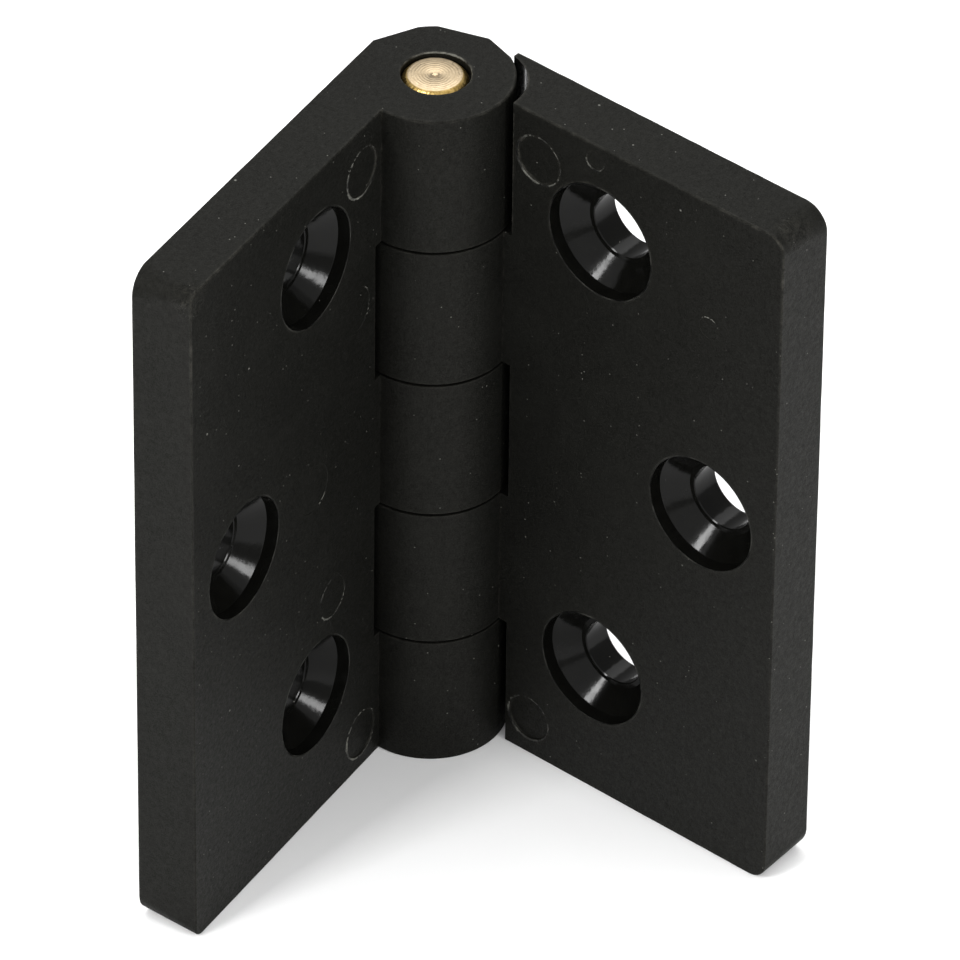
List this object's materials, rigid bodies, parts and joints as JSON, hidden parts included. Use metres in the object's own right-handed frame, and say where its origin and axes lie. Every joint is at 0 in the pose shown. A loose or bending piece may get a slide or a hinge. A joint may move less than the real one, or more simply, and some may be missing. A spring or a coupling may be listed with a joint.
{
  "type": "butt hinge",
  "caption": "Butt hinge with thick moulded plastic leaves, interleaved knuckles turning on a fixed brass pin, and countersunk screw holes in each leaf.",
  "frame": {"origin": "on the frame leaf's back face, straight behind the pin axis, at the hinge's mid-height", "axes": "+Z along the pin axis; +Y out of the frame leaf's back face, into what it is screwed to; the frame leaf reaches towards -X"},
  "size_m": [0.0381, 0.0386, 0.06],
  "materials": {
    "frame_leaf_plastic": "fine matt moulded grain, polished countersinks",
    "door_leaf_plastic": "fine matt moulded grain, polished countersinks",
    "pin_brass": "drawn brass rod with turned, faced ends"
  },
  "bodies": {
    "frame_leaf": {"frame_leaf": "frame_leaf_plastic", "hinge_pin": "pin_brass"},
    "door_leaf": {"door_leaf": "door_leaf_plastic"}
  },
  "joints": [
    {"name": "leaf_hinge", "type": "hinge", "parent": "frame_leaf", "child": "door_leaf", "pos_m": [0, -0.006, 0], "axis": [0, 0, 1], "range_deg": [-83.4, 137.6]}
  ]
}
